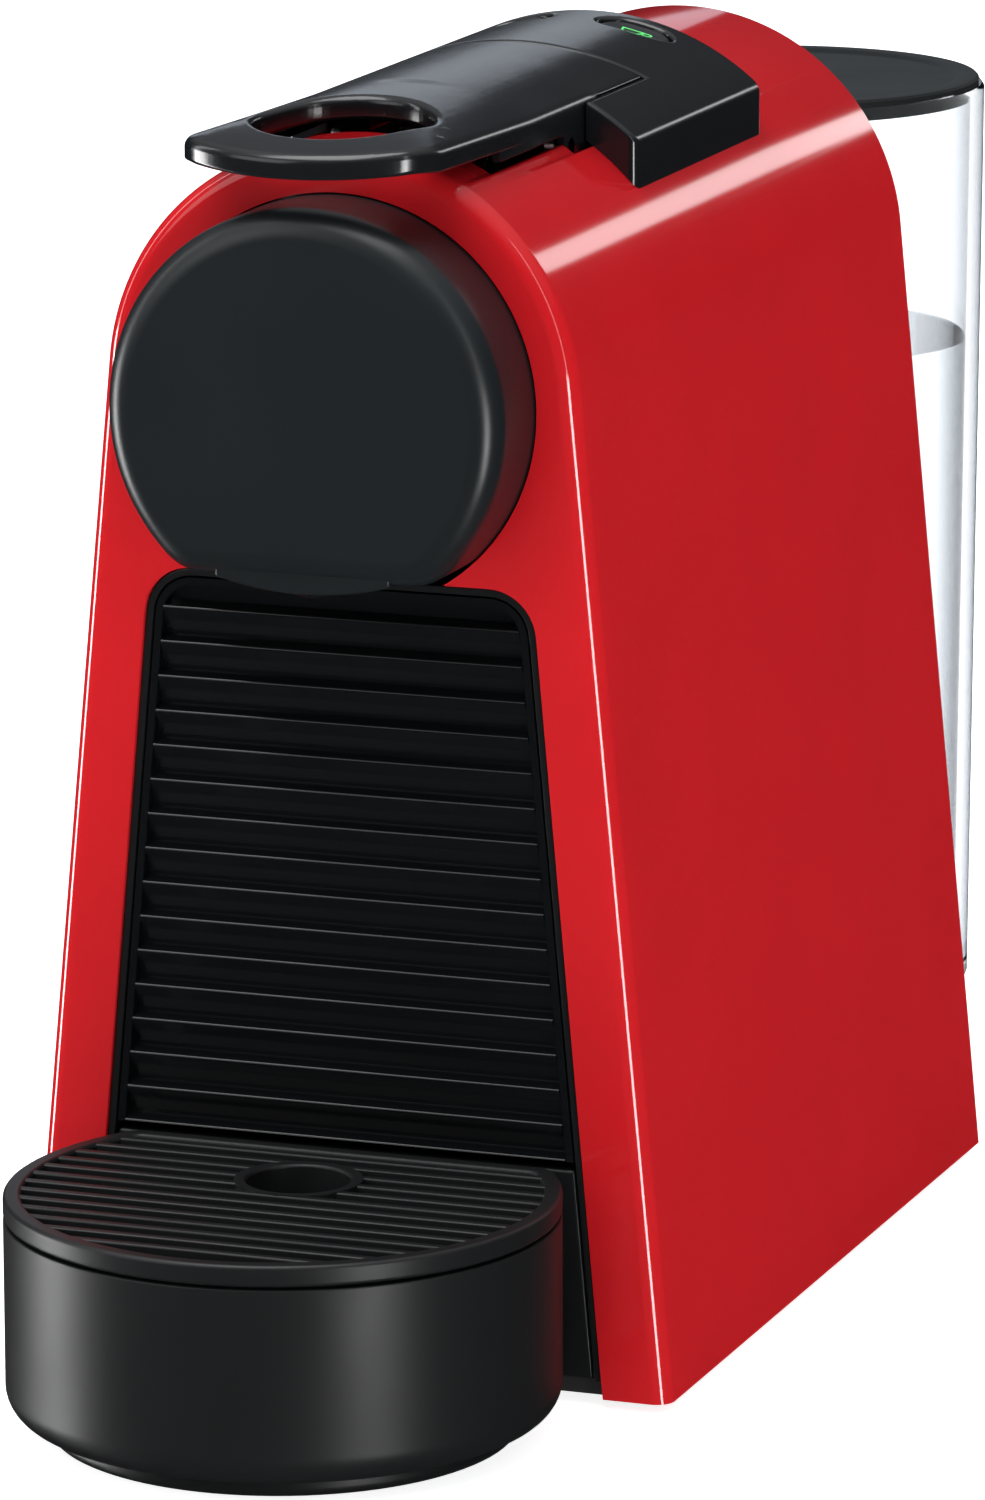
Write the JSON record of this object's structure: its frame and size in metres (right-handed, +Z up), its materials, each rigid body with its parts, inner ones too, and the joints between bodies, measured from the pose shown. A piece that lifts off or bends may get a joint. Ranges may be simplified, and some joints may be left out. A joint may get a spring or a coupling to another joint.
{
  "type": "espresso machine",
  "caption": "Compact capsule espresso machine: arched shell, flip-up lever, round brewing head, ribbed capsule bin, round drip tray with grid, and a clear lift-off water tank.",
  "frame": {"origin": "on the floor, at the middle of the machine's footprint box", "axes": "+X to the machine's right as seen from the front, +Y to the back where the tank stands, +Z up"},
  "size_m": [0.1098, 0.325, 0.205],
  "materials": {
    "shell_red": "gloss",
    "black_gloss": "gloss",
    "black_satin": "satin",
    "black_matte": "matte",
    "grey_plastic": "satin",
    "rubber": "matte",
    "clear_plastic": "clear gloss",
    "white_plastic": "satin",
    "steel": "satin",
    "cast_aluminium": "cast satin",
    "board_green": "solder mask",
    "coil_blue": "satin",
    "hose_clear": "translucent satin"
  },
  "bodies": {
    "machine": {"housing_shell": "shell_red", "front_liner": "black_satin", "base_plate": "black_matte", "rubber_feet": "rubber", "chassis": "black_matte", "rear_panel": "black_satin", "tank_dock": "black_satin", "dock_spigot": "grey_plastic", "top_cover": "black_gloss", "head_cap": "black_satin", "coffee_spout": "black_satin", "extraction_duct": "black_matte", "brew_frame": "grey_plastic", "piercing_plate": "steel", "plate_seal": "rubber", "frame_screws": "steel", "base_screws": "steel", "pivot_pins": "steel", "ui_board": "board_green", "button_switches": "steel", "espresso_button_spring": "steel", "lungo_button_spring": "steel", "inlet_sleeve": "steel", "thermoblock": "cast_aluminium", "thermostat": "grey_plastic", "thermal_fuses": "white_plastic", "heater_terminals": "steel", "main_board": "board_green", "board_parts": "black_matte", "pump_body": "white_plastic", "pump_coil": "coil_blue", "pump_mounts": "rubber", "pump_spring": "steel", "flow_meter": "grey_plastic", "flow_meter_cap": "grey_plastic", "tank_hose": "hose_clear", "pump_hose": "hose_clear", "pressure_tube": "hose_clear", "cord_gland": "black_matte"},
    "lever": {"lever_handle": "black_gloss", "crank_pins": "steel"},
    "links": {"cage_links": "steel"},
    "cage": {"capsule_cage": "grey_plastic", "cage_pins": "steel", "piercing_needles": "steel", "water_stem": "steel"},
    "espresso_key": {"espresso_button": "black_gloss"},
    "lungo_key": {"lungo_button": "black_gloss"},
    "impeller": {"flow_impeller": "white_plastic"},
    "piston": {"pump_piston": "steel"},
    "tray": {"drip_tray": "black_satin"},
    "grid": {"drip_grid": "black_satin"},
    "bin": {"capsule_bin": "black_matte", "ribbed_front": "black_gloss"},
    "tank": {"water_tank": "clear_plastic", "valve_body": "black_matte", "valve_seal": "rubber"},
    "valve": {"valve_plunger": "white_plastic"},
    "lid": {"tank_lid": "black_gloss"}
  },
  "joints": [
    {"name": "lever_hinge", "type": "hinge", "parent": "machine", "child": "lever", "pos_m": [0, -0.0305, 0.1895], "axis": [-1, 0, 0], "range_deg": [0, 90]},
    {"name": "link_swing", "type": "hinge", "parent": "lever", "child": "links", "pos_m": [0, -0.04306, 0.19287], "axis": [1, 0, 0], "range_deg": [0, 111.5]},
    {"name": "cage_slide", "type": "slide", "parent": "machine", "child": "cage", "axis": [0, 1, 0], "range_m": [0, 0.02967]},
    {"name": "espresso_press", "type": "slide", "parent": "machine", "child": "espresso_key", "axis": [0, 0, -1], "range_m": [0, 0.001], "stiffness_N_per_m": 400, "springref_m": -0.001, "deforming": ["espresso_button_spring"]},
    {"name": "lungo_press", "type": "slide", "parent": "machine", "child": "lungo_key", "axis": [0, 0, -1], "range_m": [0, 0.001], "stiffness_N_per_m": 400, "springref_m": -0.001, "deforming": ["lungo_button_spring"]},
    {"name": "impeller_spin", "type": "hinge", "parent": "machine", "child": "impeller", "pos_m": [0.022, 0.02, 0.012], "axis": [0, 0, 1], "continuous": true},
    {"name": "piston_stroke", "type": "slide", "parent": "machine", "child": "piston", "axis": [0, 0, 1], "range_m": [0, 0.003], "stiffness_N_per_m": 500, "deforming": ["pump_spring"]},
    {"name": "tray_slide", "type": "slide", "parent": "machine", "child": "tray", "axis": [0, -1, 0], "range_m": [0, 0.11]},
    {"name": "grid_slide", "type": "slide", "parent": "tray", "child": "grid", "axis": [0, -1, 0], "range_m": [0, 0.03]},
    {"name": "bin_slide", "type": "slide", "parent": "tray", "child": "bin", "axis": [0, -1, 0], "range_m": [0, 0.065]},
    {"name": "tank_lift", "type": "slide", "parent": "machine", "child": "tank", "axis": [0, 0, 1], "range_m": [0, 0.1]},
    {"name": "valve_lift", "type": "slide", "parent": "tank", "child": "valve", "axis": [0, 0, 1], "range_m": [0, 0.0008]},
    {"name": "lid_lift", "type": "slide", "parent": "tank", "child": "lid", "axis": [0, 0, 1], "range_m": [0, 0.04]}
  ],
  "couplings": [
    {"joint": "link_swing", "follows": "lever_hinge", "ratio": 1.2279},
    {"joint": "cage_slide", "follows": "lever_hinge", "m_per_rad": 0.018764}
  ]
}
